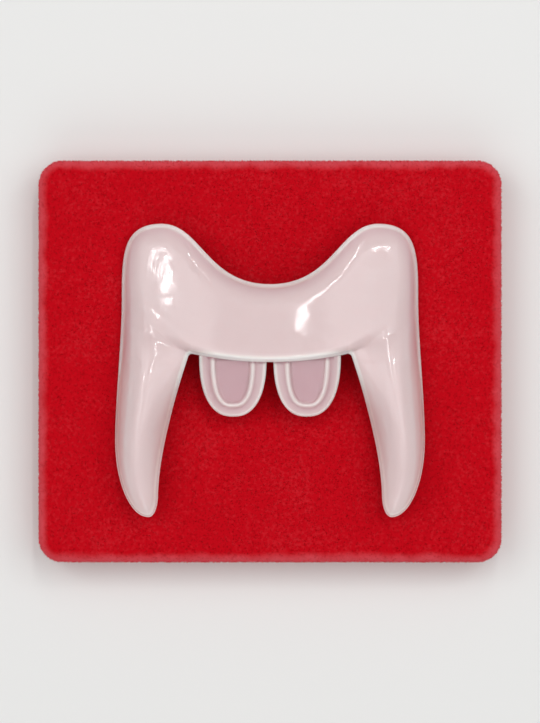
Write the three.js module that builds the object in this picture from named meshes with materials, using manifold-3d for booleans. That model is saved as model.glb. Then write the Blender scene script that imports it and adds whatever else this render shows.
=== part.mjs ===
// A vampire fang denture, lying face up on the flocked tray it is displayed on.
// Millimetres, +Z up. +Y runs from the fang tips to the gum edge, +X to the right of the face.
// The denture is one thin soft moulding: a gum plate with two lobes, a long fang under each lobe,
// and two bite tabs that come out from behind the plate's lower edge. Its back is open and hollow.

import * as THREE from 'three';
import { mergeVertices } from 'three/addons/utils/BufferGeometryUtils.js';
import Module from 'manifold-3d';

const wasm = await Module();
wasm.setup();

// The outline of the right half, seen from the front: corners and how far each curve leaves them.
const TIP = { x: 18.6, y: -23.8, out: 2.9, in: 1.0 };
const WIDEST = { x: 23.8, y: -11.8, down: 6.3, up: 6.1 };
const SIDE = { x: 22.8, y: 9.6, down: 6.5, up: 6.9 };
const LOBE = { x: 16.7, y: 21.1, out: 6.0, in: 6.2 };
const SADDLE = { x: 0, y: 11.8, out: 9.7 };
const FANG_WAIST = { x: 17.1, y: -20.5, lean: -0.03, down: 1.6, up: 6.7 };
const NOTCH_FOOT = { x: 12.6, y: 0.2, lean: -0.334, down: 7.2, up: 0.6 };
const NOTCH = { x: 11.8, y: 1.15, out: 0.6 };
const LOWER_EDGE_Y = -0.1;

// Heights above the plane the rims rest on.
const ARCH = 4.0;
const ARCH_POWER = 2.2;
const PLATE_BULGE = 2.6;
const PLATE_TILT = 0.12;
const LIP_RISE = 3.1;
const LIP_DIP = 1.0;
const LIP_BEAD = 0.3;
const BEAD_WIDTH = 0.3;
const BEAD_FADE = 3.5;
const INNER_RIM_LOW = 1.5;
const INNER_RIM_FALL = 11;
const RIMS_MEET_OVER = 8;
const TIP_LIFT = 2.6;
const LIFT_FROM_Y = -7;

// Thicknesses and roundings of the moulding.
const WALL = 1.2;
const FLANGE = 0.8;
const LAND = 0.4;
const MARGIN_RADIUS = 3.6;
const SHOULDER_POWER = 0.6;
const LIP_RADIUS = 1.0;
const ROOT_SPREAD = 0.6;
const HOLLOW_LEAST = 0.6;
const CREASE_BLEND = 1.2;

// The fang's crest height and half width at places along its length.
const FANG_STATIONS = [
  { y: TIP.y, crest: 4.3, half: 2.2 },
  { y: -20, crest: 5.4, half: 2.7 },
  { y: -16, crest: 6.4, half: 3.3 },
  { y: WIDEST.y, crest: 7.1, half: 3.85 },
  { y: -7, crest: 7.4, half: 4.4 },
  { y: -3, crest: 7.0, half: 4.85 },
  { y: NOTCH_FOOT.y, crest: 6.4, half: 5.2 },
  { y: 3, crest: 5.6, half: 5.3 },
  { y: 6, crest: 4.2, half: 5.3 },
  { y: 9, crest: 2.4, half: 5.3 },
];

// How the surface is divided along and across.
const FANG_ROWS = 24;
const CORNER_ROWS = 27;
const PLATE_ROWS = 11;
const TIP_CROWDING = 1.8;
const MARGIN_COLUMNS = 5;
const MIDDLE_COLUMNS = 5;
const CURVE_POINTS = 48;

// The bite tabs.
const TAB = { x: 5.65, half: 5.15, bottom: -8.45, top: 0.75, root: 1.3, power: 2.4, squarer: 0.14 };
const TAB_STEP = 0.35;
const TAB_DROP = 3.8;
const TAB_THICKNESS = 1.0;
const TAB_SQUASH = 0.82;
const RIB_INSET = 2.1;
const RIB_HALF = 0.4;
const RIB_HEIGHT = 0.4;
const PANEL_DEPTH = 0.25;
const TAB_ARC_POINTS = 20;

// The tray.
const TRAY = { width: 71.4, depth: 61.9, height: 8, corner: 3.6, edge: 1.7, wall: 1.2 };
const CORNER_POINTS = 8;
const EDGE_POINTS = 5;
const GAP = 0.3;

const mix = (a, b, share) => a + (b - a) * share;
const clamp01 = (value) => Math.min(1, Math.max(0, value));
const ease = (value) => clamp01(value) ** 2 * (3 - 2 * clamp01(value));
const shoulder = (distance, radius) => (1 - (1 - clamp01(distance / radius)) ** 2) ** SHOULDER_POWER;
const archAt = (x) => ARCH * (1 - Math.min(1, Math.abs(x) / SIDE.x) ** ARCH_POWER);
const lowerEdgeAt = (x) => LOWER_EDGE_Y + (NOTCH.y - LOWER_EDGE_Y) * (x / NOTCH.x) ** 2;
const lipAt = (x) => archAt(x) + LIP_RISE - LIP_DIP * (x / NOTCH.x) ** 2;

// The higher of two heights, with a soft crease where they cross well above the floor.
function higher(a, b, floor) {
  const blend = Math.min(CREASE_BLEND, Math.max(a, b) - floor);
  if (blend <= 0) return floor;
  const near = Math.max(0, 1 - Math.abs(a - b) / blend);
  return Math.max(a, b) + near * near * blend / 4;
}

// A smooth curve through a table's column, the slope at each place taken from its neighbours.
function along(table, column, y) {
  const last = table.length - 2;
  let i = 0;
  while (i < last && y > table[i + 1].y) i += 1;
  const [a, b, c, d] = [-1, 0, 1, 2].map((k) => table[Math.min(table.length - 1, Math.max(0, i + k))]);
  const span = c.y - b.y;
  const t = clamp01((y - b.y) / span);
  const slopeB = span * (c[column] - a[column]) / (c.y - a.y);
  const slopeC = span * (d[column] - b[column]) / (d.y - b.y);
  return (2 * t ** 3 - 3 * t ** 2 + 1) * b[column] + (t ** 3 - 2 * t ** 2 + t) * slopeB
    + (3 * t ** 2 - 2 * t ** 3) * c[column] + (t ** 3 - t ** 2) * slopeC;
}

function curve(from, leave, to, arrive) {
  const at = (p, [dx, dy]) => new THREE.Vector2(p.x + dx, p.y + dy);
  return new THREE.CubicBezierCurve(at(from, [0, 0]), at(from, leave), at(to, arrive), at(to, [0, 0]));
}

function lean(point, reach) {
  const length = Math.hypot(point.lean, 1);
  return [point.lean * reach / length, reach / length];
}

// From the fang's tip up its outer side, round the lobe and down to the saddle.
function outerPath() {
  const path = new THREE.CurvePath();
  path.add(curve(TIP, [TIP.out, 0], WIDEST, [0, -WIDEST.down]));
  path.add(curve(WIDEST, [0, WIDEST.up], SIDE, [0, -SIDE.down]));
  path.add(curve(SIDE, [0, SIDE.up], LOBE, [LOBE.out, 0]));
  path.add(curve(LOBE, [-LOBE.in, 0], SADDLE, [SADDLE.out, 0]));
  return path;
}

// From the tip up the fang's inner side, round the notch and along the plate's lower edge.
function innerPath() {
  const middle = { x: 0, y: LOWER_EDGE_Y };
  const path = new THREE.CurvePath();
  path.add(curve(TIP, [-TIP.in, 0], FANG_WAIST, lean(FANG_WAIST, -FANG_WAIST.down)));
  path.add(curve(FANG_WAIST, lean(FANG_WAIST, FANG_WAIST.up), NOTCH_FOOT, lean(NOTCH_FOOT, -NOTCH_FOOT.down)));
  path.add(curve(NOTCH_FOOT, lean(NOTCH_FOOT, NOTCH_FOOT.up), NOTCH, [NOTCH.out, 0]));
  path.add(curve(NOTCH, [-NOTCH.x / 3, -2 * (NOTCH.y - LOWER_EDGE_Y) / 3], middle, [NOTCH.x / 3, 0]));
  return path;
}

// Where each rung of the surface stands on the two paths, as shares of their lengths.
function rungs(outer, inner) {
  const lengths = (path) => [0, ...path.getCurveLengths().map((l) => l / path.getLength())];
  const [tip, widest, side, lobe, saddle] = lengths(outer);
  const [, waist, foot, notch, middle] = lengths(inner);
  const stops = [
    { rows: FANG_ROWS / 3, outer: tip, inner: tip, crowding: TIP_CROWDING },
    { rows: 2 * FANG_ROWS / 3, outer: mix(tip, widest, 0.6), inner: mix(tip, waist, 1.3) },
    { rows: 2 * CORNER_ROWS / 3, outer: mix(widest, side, 0.68), inner: foot },
    { rows: CORNER_ROWS / 3, outer: mix(side, lobe, 0.95), inner: notch },
    { rows: PLATE_ROWS, outer: mix(lobe, saddle, 0.35), inner: mix(notch, middle, 0.08) },
    { rows: 0, outer: saddle, inner: middle },
  ];
  const list = [];
  stops.slice(0, -1).forEach((stop, i) => {
    for (let k = 0; k < stop.rows; k += 1) {
      const share = (k / stop.rows) ** (stop.crowding ?? 1);
      list.push([mix(stop.outer, stops[i + 1].outer, share), mix(stop.inner, stops[i + 1].inner, share)]);
    }
  });
  list.push([saddle, middle]);
  return list.map(([o, n]) => [outer.getPointAt(o), inner.getPointAt(n)]);
}

function distanceTo(points, x, y) {
  let least = Infinity;
  for (let i = 1; i < points.length; i += 1) {
    const [a, b] = [points[i - 1], points[i]];
    const [dx, dy] = [b.x - a.x, b.y - a.y];
    const t = clamp01(((x - a.x) * dx + (y - a.y) * dy) / (dx * dx + dy * dy));
    least = Math.min(least, Math.hypot(x - a.x - t * dx, y - a.y - t * dy));
  }
  return least;
}

// The height of the rim nearest a place: low at the sides, high along the lip and at the fang tips.
function rimHeight(x, y, toOuter, toInner) {
  const lift = TIP_LIFT * ease((LIFT_FROM_Y - y) / (LIFT_FROM_Y - TIP.y));
  const outerRim = y < 0 ? lift : archAt(x);
  const low = INNER_RIM_LOW * ease((y - TIP.y) / RIMS_MEET_OVER);
  const fangInner = mix(lipAt(NOTCH.x), low, ease(-y / INNER_RIM_FALL)) + lift;
  const innerRim = x < NOTCH.x ? lipAt(x) : fangInner;
  return mix(outerRim, innerRim, ease(toOuter / (toOuter + toInner || 1)));
}

// The height of the skin: the front with no inset, the back with the wall as its inset.
function skinHeight(x, y, outerLine, innerLine, inset) {
  const toOuter = distanceTo(outerLine, x, y);
  const toInner = distanceTo(innerLine, x, y);
  const rim = rimHeight(x, y, toOuter, toInner) - (inset ? FLANGE : 0);
  const start = LAND + inset;

  const plateau = archAt(x) + PLATE_BULGE + PLATE_TILT * (SADDLE.y - y) - inset;
  const toLip = x < NOTCH.x ? toInner : Math.min(toInner, Math.max(0, y - lowerEdgeAt(x)));
  const rootRound = LIP_RADIUS + ROOT_SPREAD * Math.max(0, x - NOTCH.x);
  const lipRound = Math.max(rootRound - inset, HOLLOW_LEAST);
  const plateShare = shoulder(toOuter - start, MARGIN_RADIUS - inset) * shoulder(toLip - start, lipRound);
  const plate = mix(rim, plateau, plateShare);

  const pastFoot = ease((y - NOTCH_FOOT.y) / 2);
  const toFangInner = mix(toInner, Math.max(0, x - NOTCH_FOOT.x), pastFoot);
  const round = along(FANG_STATIONS, 'half', y) - start;
  const open = inset ? ease((round - HOLLOW_LEAST) / HOLLOW_LEAST) : 1;
  const fangShare = open * shoulder(Math.min(toOuter, toFangInner) - start, Math.max(round, HOLLOW_LEAST));
  const fang = mix(rim, along(FANG_STATIONS, 'crest', y) - inset, fangShare);

  const crown = Math.exp(-(((toInner - LAND) / BEAD_WIDTH) ** 2));
  const bead = inset ? 0 : LIP_BEAD * crown * ease((NOTCH.x - x) / BEAD_FADE);
  return higher(plate, fang, rim) + bead;
}

// Places across a rung, close together where the margins turn and wider in the middle.
function acrossRung(length, inset) {
  const start = LAND + inset;
  const fit = length / (2 * (start + MARGIN_RADIUS));
  const reach = Math.min(1, fit) * start;
  const radius = Math.min(MARGIN_RADIUS * Math.max(1, Math.min(fit, 1.4)), 0.44 * length - reach);
  const edge = [0];
  for (let k = 0; k <= MARGIN_COLUMNS; k += 1) {
    edge.push(reach + radius * (1 - Math.cos(k * Math.PI / 2 / MARGIN_COLUMNS)));
  }
  const stop = edge[edge.length - 1];
  const middle = [];
  for (let k = 1; k < MIDDLE_COLUMNS; k += 1) middle.push(mix(stop, length - stop, k / MIDDLE_COLUMNS));
  return [...edge, ...middle, ...edge.map((d) => length - d).reverse()];
}

// One closed loop of points round the skin at a rung: the front from outer to inner rim, then the back.
function sectionLoop([outerPoint, innerPoint], outerLine, innerLine) {
  const length = outerPoint.distanceTo(innerPoint);
  const place = (distance, inset) => {
    const p = outerPoint.clone().lerp(innerPoint, length ? distance / length : 0);
    return [p.x, p.y, skinHeight(p.x, p.y, outerLine, innerLine, inset)];
  };
  const front = acrossRung(length, 0).map((d) => place(d, 0));
  const back = acrossRung(length, WALL).map((d) => place(d, WALL)).reverse();
  return [...front, ...back];
}

function closedMesh(points, faces) {
  const geometry = new THREE.BufferGeometry();
  geometry.setAttribute('position', new THREE.Float32BufferAttribute(points.flat(), 3));
  geometry.setIndex(faces.flat());
  const welded = mergeVertices(geometry, 1e-4);
  const index = welded.getIndex().array;
  const kept = [];
  for (let i = 0; i < index.length; i += 3) {
    const [a, b, c] = index.slice(i, i + 3);
    if (a !== b && b !== c && c !== a) kept.push(a, b, c);
  }
  return new wasm.Manifold(new wasm.Mesh({
    numProp: 3,
    vertProperties: Float32Array.from(welded.getAttribute('position').array),
    triVerts: Uint32Array.from(kept),
  }));
}

// Quads between neighbouring loops of equal length. A closed loop also joins its last point to its first.
function strip(rows, width, closed, flip) {
  const faces = [];
  const columns = closed ? width : width - 1;
  for (let r = 0; r + 1 < rows; r += 1) {
    for (let c = 0; c < columns; c += 1) {
      const [a, b] = [r * width + c, r * width + ((c + 1) % width)];
      const [d, e] = [a + width, b + width];
      faces.push(...(flip ? [[a, b, e], [a, e, d]] : [[a, e, b], [a, d, e]]));
    }
  }
  return faces;
}

function shellSolid() {
  const [outer, inner] = [outerPath(), innerPath()];
  const outerLine = outer.getSpacedPoints(4 * CURVE_POINTS);
  const innerLine = inner.getSpacedPoints(4 * CURVE_POINTS);
  const right = rungs(outer, inner).map((rung) => sectionLoop(rung, outerLine, innerLine));
  const left = right.slice(0, -1).reverse().map((loop) => loop.map(([x, y, z]) => [-x, y, z]));
  const loops = [...right, ...left];
  return closedMesh(loops.flat(), strip(loops.length, loops[0].length, true, false));
}

// A loop of the tab's U outline, drawn in from its edge, with the height each point has there.
function tabLoop(side, inset, height) {
  const half = Math.max(0, TAB.half - inset);
  const drop = TAB.top - TAB.bottom - TAB_SQUASH * inset;
  const bend = 2 / (TAB.power + TAB.squarer * inset);
  const plan = [[half, TAB.root]];
  for (let k = 0; k <= TAB_ARC_POINTS; k += 1) {
    const angle = k * Math.PI / TAB_ARC_POINTS;
    const [c, s] = [Math.cos(angle), Math.sin(angle)];
    plan.push([Math.sign(c) * half * Math.abs(c) ** bend, TAB.top - drop * s ** bend]);
  }
  plan.push([-half, TAB.root]);
  return plan.map(([dx, y]) => {
    const x = TAB.x + dx;
    const fall = TAB_DROP * Math.max(0, TAB.top - y) / (TAB.top - TAB.bottom);
    return [side * x, y, lipAt(x) - TAB_STEP - fall + height];
  });
}

function tabSolid(side) {
  const front = [
    [0, 0], [LAND, 0], [RIB_INSET - 2 * RIB_HALF, 0], [RIB_INSET - RIB_HALF, RIB_HEIGHT],
    [RIB_INSET + RIB_HALF, RIB_HEIGHT], [RIB_INSET + 2 * RIB_HALF, -PANEL_DEPTH],
    [TAB.half - LAND, -PANEL_DEPTH], [TAB.half, -PANEL_DEPTH],
  ];
  const back = [[TAB.half, -TAB_THICKNESS], [RIB_INSET, -TAB_THICKNESS], [0, -TAB_THICKNESS]];
  const loops = [...front, ...back].map(([inset, height]) => tabLoop(side, inset, height));
  const width = loops[0].length;
  const rows = loops.length;
  const seam = front.length - 1;
  const flip = side < 0;
  const faces = [
    ...strip(front.length, width, false, flip),
    ...strip(back.length, width, false, flip).map((face) => face.map((i) => i + (seam + 1) * width)),
  ];
  // The edge between the back and the front, and the two ends hidden under the lip.
  for (let c = 0; c + 1 < width; c += 1) {
    const [a, b] = [(rows - 1) * width + c, (rows - 1) * width + c + 1];
    faces.push(...(side < 0 ? [[a, b, c + 1], [a, c + 1, c]] : [[a, c + 1, b], [a, c, c + 1]]));
  }
  const ring = [];
  for (let r = 0; r < rows; r += 1) ring.push(r * width);
  const [near, far] = [ring, ring.map((i) => i + width - 1)];
  for (let r = 0; r < rows / 2 - 1; r += 1) {
    const other = rows - 1 - r;
    [near, far].forEach((end, which) => {
      const quad = [end[r], end[r + 1], end[other - 1], end[other]];
      const turned = (which === 0) === (side < 0) ? quad : quad.reverse();
      faces.push([turned[0], turned[1], turned[2]], [turned[0], turned[2], turned[3]]);
    });
  }
  return closedMesh(loops.flat(), faces);
}

function toGeometry(solid) {
  const mesh = solid.getMesh();
  const geometry = new THREE.BufferGeometry();
  geometry.setAttribute('position', new THREE.Float32BufferAttribute(mesh.vertProperties, 3));
  geometry.setIndex([...mesh.triVerts]);
  const flat = geometry.toNonIndexed();
  flat.computeVertexNormals();
  return flat;
}

function denture() {
  const solid = shellSolid().add(tabSolid(1)).add(tabSolid(-1));
  const material = new THREE.MeshStandardMaterial({ color: 0xdecbc8, roughness: 0.25, metalness: 0 });
  const mesh = new THREE.Mesh(toGeometry(solid), material);
  mesh.name = 'fang_denture';
  mesh.position.z = TRAY.height + GAP + FLANGE;
  return mesh;
}

// A rounded rectangle at one height, drawn in from the tray's outer size.
function trayLoop(inset, z) {
  const radius = Math.max(TRAY.corner - inset, TRAY.wall / 2);
  const [reachX, reachY] = [TRAY.width / 2 - inset - radius, TRAY.depth / 2 - inset - radius];
  const corners = [[1, 1], [-1, 1], [-1, -1], [1, -1]];
  return corners.flatMap(([sx, sy], quarter) => {
    const points = [];
    for (let k = 0; k < CORNER_POINTS; k += 1) {
      const angle = (quarter + k / (CORNER_POINTS - 1)) * Math.PI / 2;
      points.push([sx * reachX + radius * Math.cos(angle), sy * reachY + radius * Math.sin(angle), z]);
    }
    return points;
  });
}

// Down the inside, under the rim and up the outside, so that the tray is one thin shell open below.
function tray() {
  const rounded = (inset, top, radius) => {
    const loops = [];
    for (let k = 0; k < EDGE_POINTS; k += 1) {
      const angle = k * Math.PI / 2 / (EDGE_POINTS - 1);
      loops.push(trayLoop(inset + radius * (1 - Math.cos(angle)), top - radius * (1 - Math.sin(angle))));
    }
    return loops;
  };
  const outside = [trayLoop(0, 0), ...rounded(0, TRAY.height, TRAY.edge)];
  const inside = [trayLoop(TRAY.wall, 0), ...rounded(TRAY.wall, TRAY.height - TRAY.wall, TRAY.edge - TRAY.wall / 2)];
  const loops = [...inside.reverse(), ...outside];
  const width = loops[0].length;
  const faces = strip(loops.length, width, true, true);
  const last = (loops.length - 1) * width;
  for (let k = 1; k + 1 < width; k += 1) {
    faces.push([0, k + 1, k], [last, last + k, last + k + 1]);
  }
  const material = new THREE.MeshStandardMaterial({ color: 0xbe0f1c, roughness: 0.95, metalness: 0 });
  const mesh = new THREE.Mesh(toGeometry(closedMesh(loops.flat(), faces)), material);
  mesh.name = 'display_tray';
  return mesh;
}

const group = new THREE.Group();
group.name = 'fang_denture_on_tray';
group.add(denture(), tray());

export default group;
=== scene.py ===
# %% [markdown]
# This scene finishes a vampire fang denture that lies on a red flocked tray. The denture is one
# thin moulding of soft, milky plastic. Its shape comes from a few named sizes, the same ones the
# part's source uses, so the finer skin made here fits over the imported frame.

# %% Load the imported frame
import math

import bmesh
import bpy
import numpy as np
from mathutils import Matrix, Vector


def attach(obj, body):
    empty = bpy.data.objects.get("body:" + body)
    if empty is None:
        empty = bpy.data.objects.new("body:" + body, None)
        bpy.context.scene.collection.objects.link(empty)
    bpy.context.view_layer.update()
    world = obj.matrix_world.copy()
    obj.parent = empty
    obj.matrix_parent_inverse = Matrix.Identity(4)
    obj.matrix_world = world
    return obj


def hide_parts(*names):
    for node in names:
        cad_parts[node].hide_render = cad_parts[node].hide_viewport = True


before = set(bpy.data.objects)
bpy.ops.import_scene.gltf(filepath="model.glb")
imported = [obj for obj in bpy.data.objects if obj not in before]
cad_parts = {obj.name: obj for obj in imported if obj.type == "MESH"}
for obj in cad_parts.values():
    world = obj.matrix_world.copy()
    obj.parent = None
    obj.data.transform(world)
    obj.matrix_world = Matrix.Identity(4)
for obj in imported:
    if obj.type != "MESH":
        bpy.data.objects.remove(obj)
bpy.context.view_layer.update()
MM = 0.001

# %% [markdown]
# The outline is drawn for the right half only, as smooth curves between a few corners: the fang's
# tip, its widest place, the plate's side, the lobe over the fang, and the saddle in the middle.
# The left half is its mirror image. All values are millimetres in the tray's frame.

# %% The named sizes of the outline
TIP, WIDEST, SIDE = (18.6, -23.8), (23.8, -11.8), (22.8, 9.6)
LOBE, SADDLE = (16.7, 21.1), (0.0, 11.8)
FANG_WAIST, NOTCH_FOOT, NOTCH = (17.1, -20.5), (12.6, 0.2), (11.8, 1.15)
LOWER_EDGE_Y = -0.1
WAIST_LEAN, FOOT_LEAN = -0.03, -0.334
CURVE_POINTS = 160
print("the fang tips are", 2 * TIP[0], "mm apart, the denture is", LOBE[1] - TIP[1], "mm tall")

# %% Curves, and paths made of them


def bezier(start, leave, end, arrive):
    """Points along one smooth curve, given how it leaves its start and arrives at its end."""
    t = np.linspace(0, 1, CURVE_POINTS)[:, None]
    a, d = np.array(start), np.array(end)
    b, c = a + np.array(leave), d + np.array(arrive)
    return (1 - t) ** 3 * a + 3 * (1 - t) ** 2 * t * b + 3 * (1 - t) * t**2 * c + t**3 * d


def leaning(lean, reach):
    return np.array((lean, 1.0)) * reach / math.hypot(lean, 1)


class Path:
    """Joined curves with a way to find the point at a share of their length."""

    def __init__(self, spans):
        self.points = np.vstack([spans[0]] + [span[1:] for span in spans[1:]])
        steps = np.linalg.norm(np.diff(self.points, axis=0), axis=1)
        self.length = np.concatenate(([0], np.cumsum(steps))) / steps.sum()
        ends = np.cumsum([0] + [len(span) - 1 for span in spans])
        self.corners = self.length[ends]

    def at(self, share):
        return np.column_stack([np.interp(share, self.length, self.points[:, k]) for k in (0, 1)])


print("points on each curve:", len(bezier(TIP, (2.9, 0), WIDEST, (0, -6.3))))

# %% The outer and the inner edge of the right half
outer = Path([
    bezier(TIP, (2.9, 0), WIDEST, (0, -6.3)),
    bezier(WIDEST, (0, 6.1), SIDE, (0, -6.5)),
    bezier(SIDE, (0, 6.9), LOBE, (6.0, 0)),
    bezier(LOBE, (-6.2, 0), SADDLE, (9.7, 0)),
])
drop = NOTCH[1] - LOWER_EDGE_Y
inner = Path([
    bezier(TIP, (-1.0, 0), FANG_WAIST, leaning(WAIST_LEAN, -1.6)),
    bezier(FANG_WAIST, leaning(WAIST_LEAN, 6.7), NOTCH_FOOT, leaning(FOOT_LEAN, -7.2)),
    bezier(NOTCH_FOOT, leaning(FOOT_LEAN, 0.6), NOTCH, (0.6, 0)),
    bezier(NOTCH, (-NOTCH[0] / 3, -2 * drop / 3), (0, LOWER_EDGE_Y), (NOTCH[0] / 3, 0)),
])
print("half outline: outer points", len(outer.points), "inner points", len(inner.points))

# %% [markdown]
# A thin moulding can be made by giving a sheet a thickness, but this one is thick at its rims,
# solid at its tips and hollow between. So rungs are laid across the half from the outer edge to
# the inner edge, like the rungs of a ladder, and each rung carries a front and a back row of
# points. The points crowd together where the margins turn down.

# %% Lay the rungs and the points across them
WALL, FLANGE, MARGIN_RADIUS = 1.2, 0.8, 3.6
EDGE = FLANGE / 2
EDGE_COLUMNS, MARGIN_COLUMNS, MIDDLE_COLUMNS = 5, 12, 22
TIP_CROWDING = 1.8


def mix(a, b, share):
    return a + (b - a) * share


def rung_ends():
    """The outer and inner end of each rung, from the fang's tip to the middle of the plate."""
    tip, widest, side, lobe, saddle = outer.corners
    _, waist, foot, notch, middle = inner.corners
    stops = [
        (34, tip, tip, TIP_CROWDING),
        (60, mix(tip, widest, 0.6), waist * 1.3, 1),
        (60, mix(widest, side, 0.68), foot, 1),
        (26, mix(side, lobe, 0.95), notch, 1),
        (44, mix(lobe, saddle, 0.35), mix(notch, middle, 0.08), 1),
        (0, saddle, middle, 1),
    ]
    shares = []
    for (rows, o, n, crowding), (_, next_o, next_n, _) in zip(stops, stops[1:]):
        step = (np.arange(rows) / rows) ** crowding
        shares.append(np.column_stack((mix(o, next_o, step), mix(n, next_n, step))))
    shares = np.vstack(shares + [[[saddle, middle]]])
    return outer.at(shares[:, 0]), inner.at(shares[:, 1])


def across(length, inset):
    """Distances of a rung's points from its outer end."""
    start = EDGE + inset
    fit = length / (2 * (start + MARGIN_RADIUS))
    reach = min(1, fit) * start
    radius = min(MARGIN_RADIUS * max(1, min(fit, 1.4)), 0.44 * length - reach)
    rim = reach * (1 - np.cos(np.linspace(0, np.pi / 2, EDGE_COLUMNS + 1)))
    margin = reach + radius * (1 - np.cos(np.linspace(0, np.pi / 2, MARGIN_COLUMNS + 1)))[1:]
    edge = np.concatenate((rim, margin))
    middle = np.linspace(edge[-1], length - edge[-1], MIDDLE_COLUMNS + 1)[1:-1]
    return np.concatenate((edge, middle, length - edge[::-1]))


def plan_of_half(inset):
    """The plan points of the right half: one row of points for each rung."""
    rows = []
    for start, end in zip(*rung_ends()):
        length = np.linalg.norm(end - start)
        share = across(length, inset) / length if length > 0 else np.zeros(len(across(1, inset)))
        rows.append(start + share[:, None] * (end - start))
    return np.array(rows)


front_plan, back_plan = plan_of_half(0), plan_of_half(WALL)
print("rungs and points in the half:", front_plan.shape, back_plan.shape)

# %% [markdown]
# The height of the skin could be sculpted by hand. Here it follows a rule, because the real form
# does too: a gum plate that arches across the mouth, and a fang that swells out of it. Each is a
# height over the plan, and a rounded quarter profile takes it down to the rim on every side.

# %% The named heights
ARCH, ARCH_POWER, PLATE_BULGE, PLATE_TILT = 4.0, 2.2, 2.6, 0.12
PLATE_CURVE, PLATE_MIDDLE_Y = 0.004, 6
LIP_RISE, LIP_DIP, LIP_RADIUS, ROOT_SPREAD = 3.1, 1.0, 1.0, 0.6
INNER_RIM_LOW, INNER_RIM_FALL, RIMS_MEET_OVER = 1.5, 11, 8
TIP_LIFT, LIFT_FROM_Y, HOLLOW_LEAST, BEAD_FADE = 2.6, -7, 0.6, 3.5
SHOULDER_POWER, FOOT_FILLET, EDGE_SHARES = 0.6, 0.04, (0.35, 0.8)
FANG_RIDGE, RIDGE_HALF, VALLEY_AT, VALLEY_SHARE = 0.05, 0.2, 0.45, 0.6
# Painted light and shade in the plastic's colour: a band of painted shade inside the rims, painted light on
# the rim and the lip's bead.
SKIN_MILK, BAND_PAINTED_SHADE, BAND_AT, BAND_HALF = 0.36, (-0.05, 0.15), 1.0, 0.8
RIM_PAINTED_LIGHT_AT, RIM_PAINTED_LIGHT_OVER, BEAD_PAINTED_LIGHT_HALF = 0.4, 0.35, 0.45
STATION_Y = np.array((-23.8, -20, -16, -11.8, -7, -3, 0.2, 3, 6, 9))
STATION_CREST = np.array((4.3, 5.4, 6.4, 7.1, 7.4, 7.0, 6.4, 5.6, 4.2, 2.4))
STATION_HALF = np.array((2.2, 2.7, 3.3, 3.85, 4.4, 4.85, 5.2, 5.3, 5.3, 5.3))
print("stations along the fang:", len(STATION_Y))

# %% The profiles that the heights follow


def ease(value):
    value = np.clip(value, 0, 1)
    return value * value * (3 - 2 * value)


def shoulder(distance, radius):
    """A rounded rise from 0 at the edge to 1 at a radius, with a small fillet at its foot."""
    t = np.clip(distance / radius, 0, 1)
    whole = math.sqrt(1 + FOOT_FILLET**2) - FOOT_FILLET
    t = (np.sqrt(t**2 + FOOT_FILLET**2) - FOOT_FILLET) / whole
    return (1 - (1 - t) ** 2) ** SHOULDER_POWER


def arch_at(x):
    return ARCH * (1 - np.minimum(1, np.abs(x) / SIDE[0]) ** ARCH_POWER)


def lip_at(x):
    return arch_at(x) + LIP_RISE - LIP_DIP * (x / NOTCH[0]) ** 2


def along(values, y):
    """A smooth curve through a row of station values, read at y."""
    i = np.clip(np.searchsorted(STATION_Y, y) - 1, 0, len(STATION_Y) - 2)
    before, after = np.maximum(i - 1, 0), np.minimum(i + 2, len(STATION_Y) - 1)
    span = STATION_Y[i + 1] - STATION_Y[i]
    t = np.clip((y - STATION_Y[i]) / span, 0, 1)
    slope_a = span * (values[i + 1] - values[before]) / (STATION_Y[i + 1] - STATION_Y[before])
    slope_b = span * (values[after] - values[i]) / (STATION_Y[after] - STATION_Y[i])
    return ((2 * t**3 - 3 * t**2 + 1) * values[i] + (t**3 - 2 * t**2 + t) * slope_a
            + (3 * t**2 - 2 * t**3) * values[i + 1] + (t**3 - t**2) * slope_b)


print("arch in the middle:", arch_at(0.0), "mm, lip in the middle:", lip_at(0.0), "mm")

# %% How far a point is from an edge


def distance_to(path, points):
    """How far each point is from the nearest place on a path."""
    a, b = path.points[:-1:2], path.points[2::2]
    ab = b - a
    scale = (ab**2).sum(1)
    least = np.empty(len(points))
    for k in range(0, len(points), 2000):
        ap = points[k:k + 2000, None] - a
        t = np.clip((ap * ab).sum(2) / scale, 0, 1)
        least[k:k + 2000] = np.sqrt(((ap - t[..., None] * ab) ** 2).sum(2).min(1))
    return least


lobe_to_inner = distance_to(inner, np.array([LOBE]))[0]
print("top of the lobe to the inner edge:", round(float(lobe_to_inner), 1), "mm")

# %% [markdown]
# The plastic's colour has painted light and shade in it. A painted highlight makes it whitest on the
# rim, which is seen edge on, and on the thick bead. Just inside them a band of painted shade takes
# the tray's red. A value for this is worked out from the distances to the edges, and the material
# reads it later as an attribute.

# %% How much painted light and shade a place gets


def milk_with_painted_light(y, to_outer, to_inner, bead):
    """The plastic's milky tone, with painted light on the rim and bead and painted shade inside them."""
    banded = np.minimum(to_outer, to_inner + 6 * ease((y + 2) / 3))
    band = np.exp(-(((banded - BAND_AT) / BAND_HALF) ** 2))
    milk_and_painted_light = SKIN_MILK - mix(*BAND_PAINTED_SHADE, ease((y + 3) / 6)) * band
    on_rim = 1 - ease((np.minimum(to_outer, to_inner) - RIM_PAINTED_LIGHT_AT) / RIM_PAINTED_LIGHT_OVER)
    on_lip = bead * np.exp(-(((to_inner - RIM_PAINTED_LIGHT_AT) / BEAD_PAINTED_LIGHT_HALF) ** 2))
    return mix(mix(milk_and_painted_light, 1, on_rim), 1, on_lip)


print("milkiness of the open skin:", SKIN_MILK)

# %% [markdown]
# Three heights are found for each point: the rim's, which the skin would have with no form at all,
# the plate's and the fang's. The back skin uses the same rules, set in by the wall's thickness, so
# the moulding is hollow behind.

# %% The heights of the skin


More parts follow.
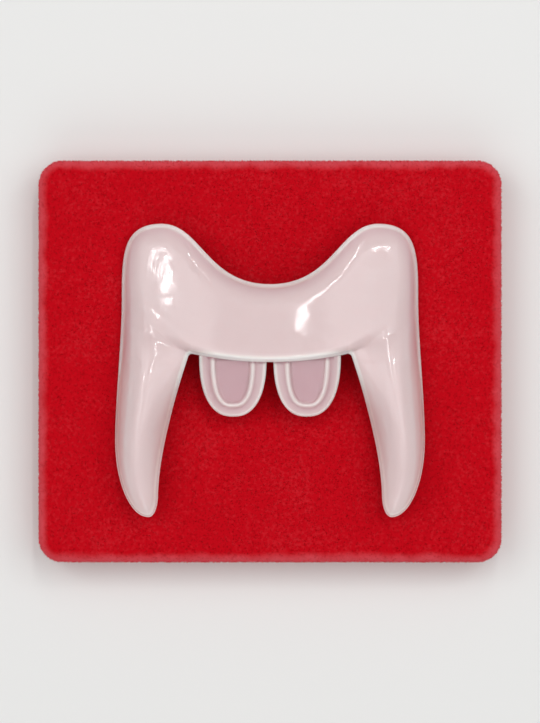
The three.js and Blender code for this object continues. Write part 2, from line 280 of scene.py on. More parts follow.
def heights(points, inset):
    """Rim, plate and fang heights and the edge's rounding, for the front or the back skin."""
    x, y = points.T
    to_outer, to_inner = distance_to(outer, points), distance_to(inner, points)
    lift = TIP_LIFT * ease((LIFT_FROM_Y - y) / (LIFT_FROM_Y - TIP[1]))
    outer_rim = np.where(y < 0, lift, arch_at(x))
    low = INNER_RIM_LOW * ease((y - TIP[1]) / RIMS_MEET_OVER)
    fang_inner = mix(lip_at(NOTCH[0]), low, ease(-y / INNER_RIM_FALL)) + lift
    inner_rim = np.where(x < NOTCH[0], lip_at(x), fang_inner)
    blend = ease(to_outer / np.maximum(to_outer + to_inner, 1e-9))
    rim = mix(outer_rim, inner_rim, blend) - (FLANGE if inset else 0)
    start = EDGE + inset if inset else EDGE * mix(*EDGE_SHARES, ease((y + 8) / 10))

    off_middle = abs(y - PLATE_MIDDLE_Y)
    near = np.minimum(off_middle, PLATE_MIDDLE_Y)
    sag = PLATE_CURVE * near * (2 * off_middle - near)
    plateau = arch_at(x) + PLATE_BULGE + PLATE_TILT * (SADDLE[1] - y) - sag - inset
    lower_edge = LOWER_EDGE_Y + drop * (x / NOTCH[0]) ** 2
    to_lip = np.where(x < NOTCH[0], to_inner, np.minimum(to_inner, np.maximum(0, y - lower_edge)))
    root_round = LIP_RADIUS + ROOT_SPREAD * np.maximum(0, x - NOTCH[0])
    share = shoulder(to_outer - start, MARGIN_RADIUS - inset)
    share = share * shoulder(to_lip - start, np.maximum(root_round - inset, HOLLOW_LEAST))
    plate = mix(rim, plateau, share)

    past_foot = ease((y - NOTCH_FOOT[1]) / 2)
    to_fang_inner = mix(to_inner, np.maximum(0, x - NOTCH_FOOT[0]), past_foot)
    radius = along(STATION_HALF, y) - start
    opened = ease((radius - HOLLOW_LEAST) / HOLLOW_LEAST) if inset else 1
    to_side = np.minimum(to_outer, to_fang_inner) - start
    share = opened * shoulder(to_side, np.maximum(radius, HOLLOW_LEAST))
    across_fang = (to_outer - to_fang_inner) / np.maximum(to_outer + to_fang_inner, 1e-9)
    valleys = np.exp(-(((abs(across_fang) - VALLEY_AT) / RIDGE_HALF) ** 2))
    ridge = np.exp(-((across_fang / RIDGE_HALF) ** 2)) - VALLEY_SHARE * valleys
    ridge = FANG_RIDGE * ridge * ease((y - TIP[1]) / 10)
    fang = mix(rim, along(STATION_CREST, y) - inset + (0 if inset else ridge), share)

    nearest = np.minimum(to_outer, to_inner)
    turn = EDGE - np.sqrt(np.maximum(0, EDGE**2 - np.maximum(0, EDGE - nearest) ** 2))
    bead = ease((NOTCH[0] - x) / BEAD_FADE)
    # One value holds the colour: the milky tone with painted light on rim and bead and painted shade inside
    # them.
    return {"rim": rim, "plate": plate, "fang": fang, "turn": turn if inset else -turn,
            "to_lip": to_inner, "bead": 0 * bead if inset else bead,
            "milk_and_painted_light": milk_with_painted_light(y, to_outer, to_inner, bead), "to_edge": to_outer}


def with_both_halves(plan, inset):
    """Plan points and their values for the whole width, right tip to left tip."""
    shape = plan.shape[:2]
    values = heights(plan.reshape(-1, 2), inset)
    values = {name: v.reshape(shape) for name, v in values.items()}
    both = {name: np.vstack((v, v[-2::-1])) for name, v in values.items()}
    both["x"] = np.vstack((plan[..., 0], -plan[-2::-1, :, 0]))
    both["y"] = np.vstack((plan[..., 1], plan[-2::-1, :, 1]))
    return both


front, back = with_both_halves(front_plan, 0), with_both_halves(back_plan, WALL)
print("highest plate point:", round(float(front["plate"].max()), 2), "mm over the rims")

# %% [markdown]
# The rows now become a mesh. Each rung gives one closed loop, over the front and back under it,
# and neighbouring loops are joined by quads. The heights are stored on the points as attributes,
# so a node tree can do the modelling step that matters most: joining the plate and the fangs.

# %% Build the flat skin with its heights as attributes
LIFT_Z = 8 + 0.3 + FLANGE


def flat_skin():
    names = ("x", "y", "rim", "plate", "fang", "turn", "to_lip", "bead", "milk_and_painted_light", "to_edge")
    loops = {n: np.hstack((front[n], back[n][:, ::-1])) for n in names}
    rows, width = loops["x"].shape
    r, c = np.meshgrid(np.arange(rows - 1), np.arange(width), indexing="ij")
    a, b = r * width + c, r * width + (c + 1) % width
    quads = np.stack((a, a + width, b + width, b), axis=-1).reshape(-1, 4)
    mesh = bpy.data.meshes.new("flat_skin")
    points = np.column_stack((loops["x"].ravel(), loops["y"].ravel(), np.zeros(rows * width)))
    mesh.from_pydata((points * MM).tolist(), [], quads.tolist())
    for name in names[2:]:
        attribute = mesh.attributes.new(name, "FLOAT", "POINT")
        attribute.data.foreach_set("value", loops[name].ravel().astype(np.float32))
    return mesh


denture = bpy.data.objects.new("fang_denture_skin", flat_skin())
bpy.context.scene.collection.objects.link(denture)
print("skin points:", len(denture.data.vertices))

# %% [markdown]
# The bite tabs are tongues with a raised U on them. Seen from the front they are half of a
# rounded oblong, so the same outline is drawn again and again, each time a little smaller, and
# given a height: the rim, the flat band, the raised U and the thinner panel inside it.

# %% The named sizes of the bite tabs
TAB_X, TAB_HALF, TAB_BOTTOM, TAB_TOP, TAB_ROOT = 5.65, 5.15, -8.45, 0.75, 1.3
TAB_POWER, TAB_SQUARER = 2.4, 0.14
TAB_STEP, TAB_DROP, TAB_THICKNESS, TAB_SQUASH = 0.35, 3.8, 1.0, 0.82
RIB_INSET, RIB_HALF, RIB_HEIGHT, PANEL_DEPTH = 2.1, 0.4, 0.32, 0.22
TAB_ARC_POINTS, LEG_POINTS = 72, 6


def describe(name, mesh):
    """Prints triangles, open edges, and the volume, which is positive if the faces look out."""
    shape = bmesh.new()
    shape.from_mesh(mesh)
    open_edges = sum(len(edge.link_faces) != 2 for edge in shape.edges)
    volume = round(shape.calc_volume(signed=True) / MM**3, 1)
    shape.free()
    mesh.calc_loop_triangles()
    print(name, "triangles:", len(mesh.loop_triangles), "open edges:", open_edges, "volume:", volume)


print("a tab is", 2 * TAB_HALF, "mm wide and reaches y", TAB_BOTTOM, "mm")

# %% The tab's section


def tab_section():
    """Inset, height and painted light and shade, from the tab's back over its rim to its front's middle."""
    half = TAB_THICKNESS / 2
    turn = np.linspace(-np.pi / 2, np.pi / 2, 9)
    # The third value paints light and shade: light on the rim and the raised U, painted shade pink from the
    # tray on the panel.
    rim = [(0.3 * (1 - math.cos(a)), -half + half * math.sin(a), 0.95) for a in turn]
    band = [(0.45, 0.02, 0.6), (0.65, 0, 0.25), (1.0, 0, 0.2)]
    rib = [(RIB_INSET + 1.25 * RIB_HALF * s,
            RIB_HEIGHT * math.cos(math.pi * s / 2) ** 1.5 - PANEL_DEPTH * float(ease((s - 0.2) / 0.8)),
            0.1 + 0.5 * math.cos(math.pi * s / 2))
           for s in np.linspace(-1, 1, 13)]
    panel = [(d, -PANEL_DEPTH, 0) for d in (RIB_INSET + 1.0, TAB_HALF - 1.2, TAB_HALF - 0.4, TAB_HALF)]
    back = [(TAB_HALF, -TAB_THICKNESS, 0.3), (RIB_INSET, -TAB_THICKNESS, 0.3)]
    return back + rim + band + rib + panel


print("rows in a tab's section:", len(tab_section()))

# %% The tab's outlines and its mesh


def tab_loop(side, inset, height):
    half = max(0.0, TAB_HALF - inset)
    angle = np.linspace(0, np.pi, TAB_ARC_POINTS + 1)
    c, s = np.cos(angle), np.sin(angle)
    depth = TAB_TOP - TAB_BOTTOM - TAB_SQUASH * inset
    bend = 2 / (TAB_POWER + TAB_SQUARER * inset)
    leg = np.linspace(TAB_ROOT, TAB_TOP, LEG_POINTS)[:-1]
    x = np.concatenate((np.full(len(leg), half), np.sign(c) * half * np.abs(c) ** bend,
                        np.full(len(leg), -half))) + TAB_X
    y = np.concatenate((leg, TAB_TOP - depth * np.abs(s) ** bend, leg[::-1]))
    fall = TAB_DROP * np.maximum(0, TAB_TOP - y) / (TAB_TOP - TAB_BOTTOM)
    z = lip_at(x) - TAB_STEP - fall + height + LIFT_Z
    return np.column_stack((side * x, y, z))


def tab_mesh(side):
    section = tab_section()
    loops = [tab_loop(side, inset, height) for inset, height, _ in section]
    rows, width = len(loops), len(loops[0])
    faces = []
    for r in range(rows - 1):
        for c in range(width - 1):
            a = r * width + c
            quad = (a, a + 1, a + 1 + width, a + width)
            faces.append(quad[::-1] if side > 0 else quad)
    for end in (0, width - 1):
        ring = tuple(r * width + end for r in range(rows))
        faces.append(ring[::-1] if (end == 0) == (side > 0) else ring)
    mesh = bpy.data.meshes.new("bite_tab")
    mesh.from_pydata((np.vstack(loops) * MM).tolist(), [], faces)
    milk_and_painted_light = np.repeat([row[2] for row in section], width).astype(np.float32)
    mesh.attributes.new("milk_and_painted_light", "FLOAT", "POINT").data.foreach_set("value", milk_and_painted_light)
    return mesh


tabs = []
for side in (1, -1):
    tab = bpy.data.objects.new("bite_tab", tab_mesh(side))
    bpy.context.scene.collection.objects.link(tab)
    tabs.append(tab)
    describe("bite tab", tab.data)

# %% [markdown]
# The node tree raises the flat skin. Where the fang stands higher than the plate the fang wins,
# and close to where they cross the two are blended, which leaves the soft crease seen round each
# fang's root. It then adds the bead along the lip, welds the seams and unites the tabs with the
# skin, so that the result is one closed moulding like the real one.


# %% A small helper for node trees
class Tree:
    """Adds nodes and links them. A socket or a plain value can be given for each input."""

    def __init__(self, tree):
        self.tree = tree

    def fill(self, node, inputs):
        for key, value in dict(inputs).items():
            if isinstance(value, bpy.types.NodeSocket):
                self.tree.links.new(value, node.inputs[key])
            else:
                node.inputs[key].default_value = value
        return node

    def add(self, kind, inputs=(), **settings):
        node = self.tree.nodes.new(kind)
        for name, value in settings.items():
            setattr(node, name, value)
        return self.fill(node, inputs)

    def math(self, operation, a, b=0.0):
        return self.add("ShaderNodeMath", {0: a, 1: b}, operation=operation).outputs[0]

    def vector(self, operation, a, b=(0, 0, 0)):
        return self.add("ShaderNodeVectorMath", {0: a, 1: b}, operation=operation).outputs[0]

    def value(self, name):
        node = self.add("GeometryNodeInputNamedAttribute", {"Name": name}, data_type="FLOAT")
        return node.outputs["Attribute"]


def new_geometry_tree(name, inputs):
    """A geometry node tree with a named input for each size. Returns it and its input sockets."""
    group = bpy.data.node_groups.new(name, "GeometryNodeTree")
    group.interface.new_socket("Geometry", in_out="INPUT", socket_type="NodeSocketGeometry")
    for label, kind in inputs:
        group.interface.new_socket(label, in_out="INPUT", socket_type="NodeSocket" + kind)
    group.interface.new_socket("Geometry", in_out="OUTPUT", socket_type="NodeSocketGeometry")
    return group, Tree(group), group.nodes.new("NodeGroupInput").outputs


def run_tree(obj, group, values):
    """Sets the tree's inputs by their identifiers, and turns the result into a plain mesh."""
    modifier = obj.modifiers.new(group.name, "NODES")
    modifier.node_group = group
    for item in group.interface.items_tree:
        if item.in_out == "INPUT" and item.name in values:
            modifier[item.identifier] = values[item.name]
    bpy.context.view_layer.update()
    evaluated = obj.evaluated_get(bpy.context.evaluated_depsgraph_get())
    mesh = bpy.data.meshes.new_from_object(evaluated)
    obj.modifiers.remove(modifier)
    obj.data = mesh


print("helpers ready")

# %% [markdown]
# The denture's own tree reads the stored heights by name. Its sizes are the crease's blend, the
# bead and the lift above the floor, all in millimetres, so each can be tried by itself.

# %% The tree that makes the denture
milky_plastic = bpy.data.materials.new("milky_plastic")


def denture_tree():
    group, t, given = new_geometry_tree("denture_moulding", [
        ("Lift", "Float"), ("Crease blend", "Float"), ("Bead height", "Float"), ("Bead width", "Float"),
        ("Right tab", "Object"), ("Left tab", "Object"), ("Material", "Material")])
    rim, plate, fang = t.value("rim"), t.value("plate"), t.value("fang")
    top = t.math("MAXIMUM", plate, fang)
    room = t.math("SUBTRACT", top, rim)
    blend = t.math("MAXIMUM", t.math("MINIMUM", given["Crease blend"], room), 1e-6)
    apart = t.math("ABSOLUTE", t.math("SUBTRACT", plate, fang))
    near = t.math("MAXIMUM", t.math("SUBTRACT", 1.0, t.math("DIVIDE", apart, blend)), 0.0)
    quarter = t.math("MULTIPLY", blend, 0.25)
    joined = t.math("ADD", top, t.math("MULTIPLY", t.math("MULTIPLY", near, near), quarter))
    offset = t.math("DIVIDE", t.math("SUBTRACT", t.value("to_lip"), EDGE), given["Bead width"])
    bead = t.math("EXPONENT", t.math("MULTIPLY", t.math("MULTIPLY", offset, offset), -1.0))
    bead = t.math("MULTIPLY", t.math("MULTIPLY", bead, given["Bead height"]), t.value("bead"))
    height = t.math("ADD", t.math("ADD", joined, bead), t.math("ADD", t.value("turn"), given["Lift"]))
    z = t.math("MULTIPLY", height, MM)
    offset = t.add("ShaderNodeCombineXYZ", {"Z": z}).outputs[0]
    raised = t.add("GeometryNodeSetPosition", {"Geometry": given["Geometry"], "Offset": offset}).outputs[0]
    welded = t.add("GeometryNodeMergeByDistance", {"Geometry": raised, "Distance": 1e-6}).outputs[0]
    tab_meshes = []
    for name in ("Right tab", "Left tab"):
        info = t.add("GeometryNodeObjectInfo", {"Object": given[name]})
        tab_meshes.append(t.add("GeometryNodeMergeByDistance", {"Geometry": info.outputs["Geometry"],
                                                                "Distance": 1e-6}).outputs[0])
    union = t.add("GeometryNodeMeshBoolean", operation="UNION", solver="MANIFOLD")
    for mesh in tab_meshes + [welded]:
        t.tree.links.new(mesh, union.inputs["Mesh 2"])
    smooth = t.add("GeometryNodeSetShadeSmooth", {"Geometry": union.outputs["Mesh"]}).outputs[0]
    real = t.add("GeometryNodeRealizeInstances", {"Geometry": smooth}).outputs[0]
    final = t.add("GeometryNodeSetMaterial", {"Geometry": real, "Material": given["Material"]}).outputs[0]
    t.add("NodeGroupOutput", {"Geometry": final})
    return group


run_tree(denture, denture_tree(), {
    "Lift": LIFT_Z, "Crease blend": 1.8, "Bead height": 0.45, "Bead width": 0.36,
    "Right tab": tabs[0], "Left tab": tabs[1], "Material": milky_plastic})
for tab in tabs:
    bpy.data.objects.remove(tab)
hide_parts("fang_denture")
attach(denture, "root")
describe("denture", denture.data)

# %% [markdown]
# The tray is a formed sheet with a rounded top edge, covered in short red flock. It is one shell,
# down the inside, under the rim and up the outside, made from rounded rectangles of one kind that
# are drawn in by a named inset at each height.

# %% The tray's rounded rectangles
TRAY_WIDTH, TRAY_DEPTH, TRAY_HEIGHT, TRAY_CORNER, TRAY_EDGE, TRAY_WALL = 71.4, 61.9, 8, 3.6, 1.7, 1.2
CORNER_POINTS, EDGE_POINTS, BARE_FOOT = 20, 10, (0.3, 0.5)


def tray_loop(inset, z):
    radius = max(TRAY_CORNER - inset, TRAY_WALL / 2)
    reach = np.array((TRAY_WIDTH, TRAY_DEPTH)) / 2 - inset - radius
    points = []
    for quarter_turn, sign in enumerate(((1, 1), (-1, 1), (-1, -1), (1, -1))):
        angle = (quarter_turn + np.linspace(0, 1, CORNER_POINTS)) * np.pi / 2
        plan = np.array(sign) * reach + radius * np.column_stack((np.cos(angle), np.sin(angle)))
        points.append(np.column_stack((plan, np.full(CORNER_POINTS, z))))
    return np.vstack(points)


def rounded_rise(inset, top, radius):
    angles = np.linspace(0, np.pi / 2, EDGE_POINTS)
    return [tray_loop(inset + radius * (1 - math.cos(a)), top - radius * (1 - math.sin(a))) for a in angles]


print("points in one rectangle:", 4 * CORNER_POINTS)

# %% The tray's shell


def tray_mesh():
    outside = rounded_rise(0, TRAY_HEIGHT, TRAY_EDGE)
    inner_edge = rounded_rise(TRAY_WALL, TRAY_HEIGHT - TRAY_WALL, TRAY_EDGE - TRAY_WALL / 2)
    inside = [tray_loop(TRAY_WALL, 0)] + inner_edge
    loops = inside[::-1] + [tray_loop(0, z) for z in (0, *BARE_FOOT)] + outside
    rows, width = len(loops), len(loops[0])
    r, c = np.meshgrid(np.arange(rows - 1), np.arange(width), indexing="ij")
    a, b = r * width + c, r * width + (c + 1) % width
    faces = np.stack((a, b, b + width, a + width), axis=-1).reshape(-1, 4).tolist()
    faces.append(tuple(range(width))[::-1])
    faces.append(tuple(range((rows - 1) * width, rows * width)))
    mesh = bpy.data.meshes.new("tray")
    mesh.from_pydata((np.vstack(loops) * MM).tolist(), [], faces)
    return mesh


tray = bpy.data.objects.new("display_tray_flocked", tray_mesh())
bpy.context.scene.collection.objects.link(tray)
describe("tray shell", tray.data)

# %% [markdown]
# Flock is a mist of tiny fibres that stand on a glued surface. A particle system would not be
# exported, and a bump alone stays flat at the edges, so Geometry Nodes scatter small tapered
# fibres over the outside with a fixed seed, and the flock's colour and bump do the rest.

# %% The tree that plants the flock
BARE_UP_TO, OUTSIDE_FROM = 0.0004, 0.0075
red_flock = bpy.data.materials.new("red_flock")


def flock_tree():
    group, t, given = new_geometry_tree("flock_fibres", [
        ("Fibres per square metre", "Float"), ("Fibre length", "Float"), ("Fibre radius", "Float"),
        ("Slant", "Float"), ("Seed", "Int"), ("Material", "Material")])
    position = t.add("GeometryNodeInputPosition").outputs[0]
    normal = t.add("GeometryNodeInputNormal").outputs[0]
    outward = t.add("ShaderNodeVectorMath", {0: position, 1: normal},
                    operation="DOT_PRODUCT").outputs["Value"]
    above = t.math("GREATER_THAN", t.add("ShaderNodeSeparateXYZ", {0: position}).outputs["Z"], BARE_UP_TO)
    far_out = t.math("MULTIPLY", t.math("GREATER_THAN", outward, OUTSIDE_FROM), above)
    scatter = t.add("GeometryNodeDistributePointsOnFaces", {
        "Mesh": given["Geometry"], "Selection": far_out, "Density": given["Fibres per square metre"],
        "Seed": given["Seed"]}, distribute_method="RANDOM")
    fibre = t.add("GeometryNodeMeshCone", {
        "Vertices": 3, "Radius Top": 0.0, "Radius Bottom": given["Fibre radius"],
        "Depth": given["Fibre length"]}, fill_type="NGON").outputs["Mesh"]
    slant = given["Slant"]
    other_way = t.math("MULTIPLY", slant, -1.0)
    low = t.add("ShaderNodeCombineXYZ", {0: other_way, 1: other_way})
    high = t.add("ShaderNodeCombineXYZ", {0: slant, 1: slant, 2: 2 * math.pi})
    turn = t.add("FunctionNodeRandomValue", {
        "Min": low.outputs[0], "Max": high.outputs[0], "Seed": given["Seed"]},
        data_type="FLOAT_VECTOR").outputs["Value"]
    tilt = t.add("FunctionNodeEulerToRotation", {"Euler": turn}).outputs[0]
    facing = t.add("FunctionNodeRotateRotation", {
        "Rotation": scatter.outputs["Rotation"], "Rotate By": tilt}, rotation_space="LOCAL").outputs[0]
    planted = t.add("GeometryNodeInstanceOnPoints", {
        "Points": scatter.outputs["Points"], "Instance": fibre, "Rotation": facing}).outputs[0]
    both = t.add("GeometryNodeJoinGeometry")
    t.tree.links.new(planted, both.inputs[0])
    t.tree.links.new(given["Geometry"], both.inputs[0])
    real = t.add("GeometryNodeRealizeInstances", {"Geometry": both.outputs[0]}).outputs[0]
    final = t.add("GeometryNodeSetMaterial", {"Geometry": real, "Material": given["Material"]}).outputs[0]
    t.add("NodeGroupOutput", {"Geometry": final})
    return group


run_tree(tray, flock_tree(), {
    "Fibres per square metre": 6.4e6, "Fibre length": 0.00026, "Fibre radius": 0.00007, "Slant": 0.8,
    "Seed": 7, "Material": red_flock})
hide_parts("display_tray")
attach(tray, "root")
describe("tray and flock", tray.data)

# %% [markdown]
# Milky plastic is cloudy: light goes in, scatters and comes out somewhere else. A white paint
# would look dead, and clear plastic would show too much. Subsurface scattering with a reach of
# about a millimetre lets the red tray glow through the thin places, as it does on the real one.

# %% Helpers for shader node groups


def new_shader_group(name, inputs, outputs):
    """A shader node group with named sockets. Returns it, its tree and its input sockets."""
    group = bpy.data.node_groups.new(name, "ShaderNodeTree")
    for in_out, sockets in (("INPUT", inputs), ("OUTPUT", outputs)):
        for label, kind in sockets:
            group.interface.new_socket(label, in_out=in_out, socket_type="NodeSocket" + kind)
    return group, Tree(group), group.nodes.new("NodeGroupInput").outputs


def noise(t, vector, scale, detail):
    inputs = {"Vector": vector, "Scale": scale, "Detail": detail}
    return t.add("ShaderNodeTexNoise", inputs).outputs[0]


def mixed_colour(t, share, start, end):
    inputs = {"Factor": share, 6: start, 7: end}
    return t.add("ShaderNodeMix", inputs, data_type="RGBA").outputs[2]


print("shader helpers ready")

# %% [markdown]
# The plastic cooled a little unevenly, so its skin is no perfect mirror. Slow waves bend the
# highlights, a fine ripple breaks them up, and faint lines follow the outer edge. This is far
# too fine to model, so it is a bump from noises, and the lines read each point's distance to the edge.

# %% The waves in the skin
RIPPLE_TIMES, LINE_STRETCH = 5.0, 0.08


def wave_group():
    """A node group that turns slow waves, a fine ripple and lines along the edge into a bump."""
    group, t, given = new_shader_group("cooling_waves", [
        ("Vector", "Vector"), ("From edge", "Float"), ("Scale", "Float"), ("Fine share", "Float"),
        ("Line share", "Float"), ("Line scale", "Float"), ("Depth", "Float")], [("Normal", "Vector")])
    slow = noise(t, given["Vector"], given["Scale"], 1.0)
    fine = noise(t, given["Vector"], t.math("MULTIPLY", given["Scale"], RIPPLE_TIMES), 1.0)
    along_edge = t.vector("MULTIPLY", given["Vector"], (LINE_STRETCH,) * 3)
    off_edge = t.math("MULTIPLY", given["From edge"], MM)
    off_edge = t.add("ShaderNodeCombineXYZ", {"Z": off_edge}).outputs[0]
    lines = noise(t, t.vector("ADD", along_edge, off_edge), given["Line scale"], 2.0)
    height = t.math("ADD", slow, t.math("MULTIPLY", fine, given["Fine share"]))
    height = t.math("ADD", height, t.math("MULTIPLY", lines, given["Line share"]))
    bump = t.add("ShaderNodeBump", {"Height": height, "Distance": given["Depth"], "Strength": 1.0})
    t.add("NodeGroupOutput", {"Normal": bump.outputs[0]})
    return group


waves_in_skin = wave_group()
print("wave nodes:", len(waves_in_skin.nodes))

# %% The milky plastic


def painted_light_group():
    """A node group that mixes a pink and a white colour by the milky tone and the painted light and shade.
    """
    group, t, given = new_shader_group("painted_light_mix", [
        ("Milk and painted light", "Float"), ("Pink end", "Color"), ("White end", "Color")], [("Color", "Color")])
    t.add("NodeGroupOutput", {"Color": mixed_colour(t, given["Milk and painted light"], given["Pink end"], given["White end"])})
    return group


def finish_plastic(material):
    material.use_nodes = True
    t = Tree(material.node_tree)
    place = t.add("ShaderNodeTexCoord").outputs["Object"]
    from_edge = t.add("ShaderNodeAttribute", attribute_name="to_edge").outputs["Fac"]
    milk_and_painted_light = t.add("ShaderNodeAttribute", attribute_name="milk_and_painted_light").outputs["Fac"]
    waves = t.add("ShaderNodeGroup", {
        "Vector": place, "From edge": from_edge, "Scale": 380, "Fine share": 0.04, "Line share": 0.12,
        "Line scale": 2500, "Depth": 0.00006}, node_tree=waves_in_skin)
    # The colour paints light and shade: white on the rims and bead, pink shade from the tray in a band
    # inside them.
    depth = t.add("ShaderNodeGroup", {
        "Milk and painted light": milk_and_painted_light, "Pink end": (0.60, 0.395, 0.43, 1), "White end": (1.0, 0.95, 0.89, 1)},
        node_tree=painted_light_group())
    t.fill(material.node_tree.nodes["Principled BSDF"], {
        "Base Color": depth.outputs["Color"], "Normal": waves.outputs["Normal"], "Roughness": 0.1,
        "IOR": 1.5, "Subsurface Weight": 1.0, "Subsurface Radius": (0.95, 1.0, 1.0),
        "Subsurface Scale": 0.0022})


finish_plastic(milky_plastic)
print("plastic nodes:", len(milky_plastic.node_tree.nodes))

# %% [markdown]
# Flock looks darker where the fibres are seen end on and lighter where they lean, so its red is
# mottled at two sizes. It has no shine of its own. A soft bump gives the shell under the fibres
# the same uneven nap.

# %% The nap of the flock
FINE_SHARE, BROAD_TIMES = 0.7, 0.06


def nap_group():
    """A node group for a napped surface: mottled colour and a fine bump from one set of noises."""
    group, t, given = new_shader_group("flock_nap", [
        ("Vector", "Vector"), ("Dark", "Color"), ("Light", "Color"), ("Scale", "Float"),
        ("Depth", "Float")], [("Color", "Color"), ("Normal", "Vector")])
    fine = noise(t, given["Vector"], given["Scale"], 3.0)
    broad = noise(t, given["Vector"], t.math("MULTIPLY", given["Scale"], BROAD_TIMES), 2.0)
    blend = t.math("ADD", t.math("MULTIPLY", fine, FINE_SHARE), t.math("MULTIPLY", broad, 1 - FINE_SHARE))
    spread = t.add("ShaderNodeMapRange", {"Value": blend, "From Min": 0.5, "From Max": 0.85}).outputs[0]
    bump = t.add("ShaderNodeBump", {"Height": fine, "Distance": given["Depth"], "Strength": 0.8})
    t.add("NodeGroupOutput", {
        "Color": mixed_colour(t, spread, given["Dark"], given["Light"]), "Normal": bump.outputs[0]})
    return group


flock_nap = nap_group()
print("nap nodes:", len(flock_nap.nodes))

# %% [markdown]
# The tray's top edge catches the light, and this sheen is painted as a paler, uneven band. The band
# is a mask: how far a place lies out towards the rounded rectangle's edge, how high it lies, the
# lesser of the two, and patches from a noise that break up its inner border.

# %% The painted sheen on the top edge
BAND_BELOW, PATCH_SCALE = 1.7, 260.0


def painted_sheen_group():
    """A node group that paints sheen as a paler, uneven band along the tray's top edge."""
    group, t, given = new_shader_group("painted_edge_sheen", [
        ("Vector", "Vector"), ("Color", "Color"), ("Sheen colour", "Color"), ("Half size", "Vector"),
        ("Corner", "Float"), ("Height", "Float"), ("Band", "Float"), ("Unevenness", "Float"),
        ("Strength", "Float")], [("Color", "Color")])
    corner = t.add("ShaderNodeCombineXYZ", {0: given["Corner"], 1: given["Corner"]}).outputs[0]
    flat = t.vector("MULTIPLY", t.vector("ABSOLUTE", given["Vector"]), (1, 1, 0))
    past = t.vector("ADD", t.vector("SUBTRACT", flat, given["Half size"]), corner)
    past = t.vector("MAXIMUM", past, (0, 0, 0))
    reach = t.add("ShaderNodeVectorMath", {0: past}, operation="LENGTH").outputs["Value"]
    outwards = t.math("DIVIDE", t.math("SUBTRACT", reach, given["Corner"]), given["Band"])
    outwards = t.math("ADD", outwards, 1.0)
    height = t.add("ShaderNodeSeparateXYZ", {0: given["Vector"]}).outputs["Z"]
    upwards = t.math("DIVIDE", t.math("SUBTRACT", height, given["Height"]), given["Band"])
    upwards = t.math("ADD", upwards, BAND_BELOW)
    patches = noise(t, given["Vector"], PATCH_SCALE, 3.0)
    uneven = t.math("MULTIPLY", t.math("SUBTRACT", patches, 0.5), given["Unevenness"])
    reached = t.math("ADD", t.math("MINIMUM", outwards, upwards), uneven)
    near = t.add("ShaderNodeMapRange", {"Value": reached, "From Min": 0.0, "From Max": 0.9},
                 interpolation_type="SMOOTHSTEP").outputs[0]
    share = t.math("MULTIPLY", near, given["Strength"])
    t.add("NodeGroupOutput", {"Color": mixed_colour(t, share, given["Color"], given["Sheen colour"])})
    return group


painted_edge_sheen = painted_sheen_group()
print("rubbed edge nodes:", len(painted_edge_sheen.nodes))

# %% The red flock


def finish_flock(material):
    material.use_nodes = True
    t = Tree(material.node_tree)
    place = t.add("ShaderNodeTexCoord").outputs["Object"]
    nap = t.add("ShaderNodeGroup", {
        "Vector": place, "Dark": (0.50, 0.001, 0.007, 1), "Light": (0.60, 0.02, 0.03, 1),
        "Scale": 2200, "Depth": 0.00008}, node_tree=flock_nap)
    # A paler red painted along the top edge as sheen.
    edge_sheen = t.add("ShaderNodeGroup", {
        "Vector": place, "Color": nap.outputs["Color"], "Sheen colour": (0.68, 0.07, 0.09, 1),
        "Half size": (TRAY_WIDTH / 2 * MM, TRAY_DEPTH / 2 * MM, 0), "Corner": TRAY_CORNER * MM,
        "Height": TRAY_HEIGHT * MM, "Band": TRAY_EDGE * MM, "Unevenness": 0.9, "Strength": 0.95},
        node_tree=painted_edge_sheen)
    t.fill(material.node_tree.nodes["Principled BSDF"], {
        "Base Color": edge_sheen.outputs["Color"], "Normal": nap.outputs["Normal"], "Roughness": 0.95,
        "Specular IOR Level": 0.08, "Sheen Weight": 0.12, "Sheen Roughness": 0.25,
        "Sheen Tint": (1.0, 0.5, 0.5, 1)})


finish_flock(red_flock)
print("flock nodes:", len(red_flock.node_tree.nodes))

# %% [markdown]
# The stage is a pale floor, wide enough that its edge is never seen.

# %% The floor
FLOOR_HALF = 1.5


def make_floor():
    mesh = bpy.data.meshes.new("floor")
    corners = [(x * FLOOR_HALF, y * FLOOR_HALF, 0) for x, y in ((-1, -1), (1, -1), (1, 1), (-1, 1))]
    mesh.from_pydata(corners, [], [(0, 1, 2, 3)])
    floor = bpy.data.objects.new("floor", mesh)
    bpy.context.scene.collection.objects.link(floor)
    pale = bpy.data.materials.new("pale_floor")
    pale.use_nodes = True
    Tree(pale.node_tree).fill(pale.node_tree.nodes["Principled BSDF"], {
        "Base Color": (0.8, 0.8, 0.79, 1), "Roughness": 0.9})
    mesh.materials.append(pale)
    return floor


make_floor()
print("floor is", 2 * FLOOR_HALF, "m wide")

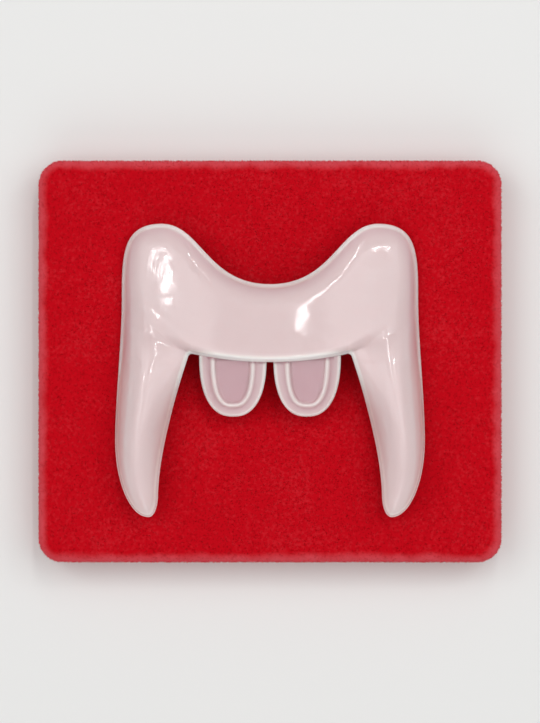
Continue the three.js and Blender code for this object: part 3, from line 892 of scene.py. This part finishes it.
# %% [markdown]
# Four broad lights fill the scene softly from above, both sides and the front. Glossy plastic
# mirrors what is small and bright, so three narrow strips stand where their mirror images fall on
# the highlights of the photo. A strip is placed by halving: a skin that leans by an angle mirrors
# a light that stands at twice that angle.

# %% The lights
LIT_POINT = (0, 0, 0.012)


def add_light(name, place, width, height, watts):
    """A rectangular lamp that faces the middle of the denture."""
    data = bpy.data.lights.new(name, "AREA")
    data.shape, data.size, data.size_y, data.energy = "RECTANGLE", width, height, watts
    light = bpy.data.objects.new(name, data)
    light.location = place
    back = (Vector(place) - Vector(LIT_POINT)).normalized()
    right = Vector((0, 1, 0)).cross(back).normalized()
    light.rotation_euler = Matrix((right, back.cross(right), back)).transposed().to_euler()
    bpy.context.scene.collection.objects.link(light)


LIGHTS = (
    ("soft_overhead", (0.0, 0.05, 0.8), 0.9, 0.9, 1.2),
    ("soft_left", (-0.42, 0.12, 0.62), 0.5, 0.6, 1.3),
    ("soft_right", (0.42, 0.12, 0.62), 0.5, 0.6, 1.3),
    ("middle_strip", (0.06, 0.24, 0.44), 0.018, 0.28, 0.3),
    ("left_strip", (-0.252, 0.172, 0.41), 0.006, 0.04, 0.055),
    ("right_strip", (0.245, 0.21, 0.39), 0.018, 0.018, 0.07),
    ("soft_front", (0.0, -0.45, 0.40), 0.6, 0.3, 0.5),
)
for light in LIGHTS:
    add_light(*light)
world = bpy.data.worlds.new("studio")
world.use_nodes = True
Tree(world.node_tree).fill(world.node_tree.nodes["Background"], {"Color": (1, 1, 1, 1), "Strength": 0.35})
bpy.context.scene.world = world
bpy.context.scene.view_settings.view_transform = "Standard"
print("lights:", len(LIGHTS))

# %% [markdown]
# The photo is taken straight down on the display, so the camera looks straight down too. A long
# lens from far off shows little perspective, as the photo does.

# %% The camera
camera_data = bpy.data.cameras.new("camera")
camera_data.sensor_fit, camera_data.sensor_width, camera_data.lens = "HORIZONTAL", 36, 200
camera = bpy.data.objects.new("camera", camera_data)
camera.location = (0, 0, 0.47)
bpy.context.scene.collection.objects.link(camera)
bpy.context.scene.camera = camera
print("camera height:", camera.location.z)
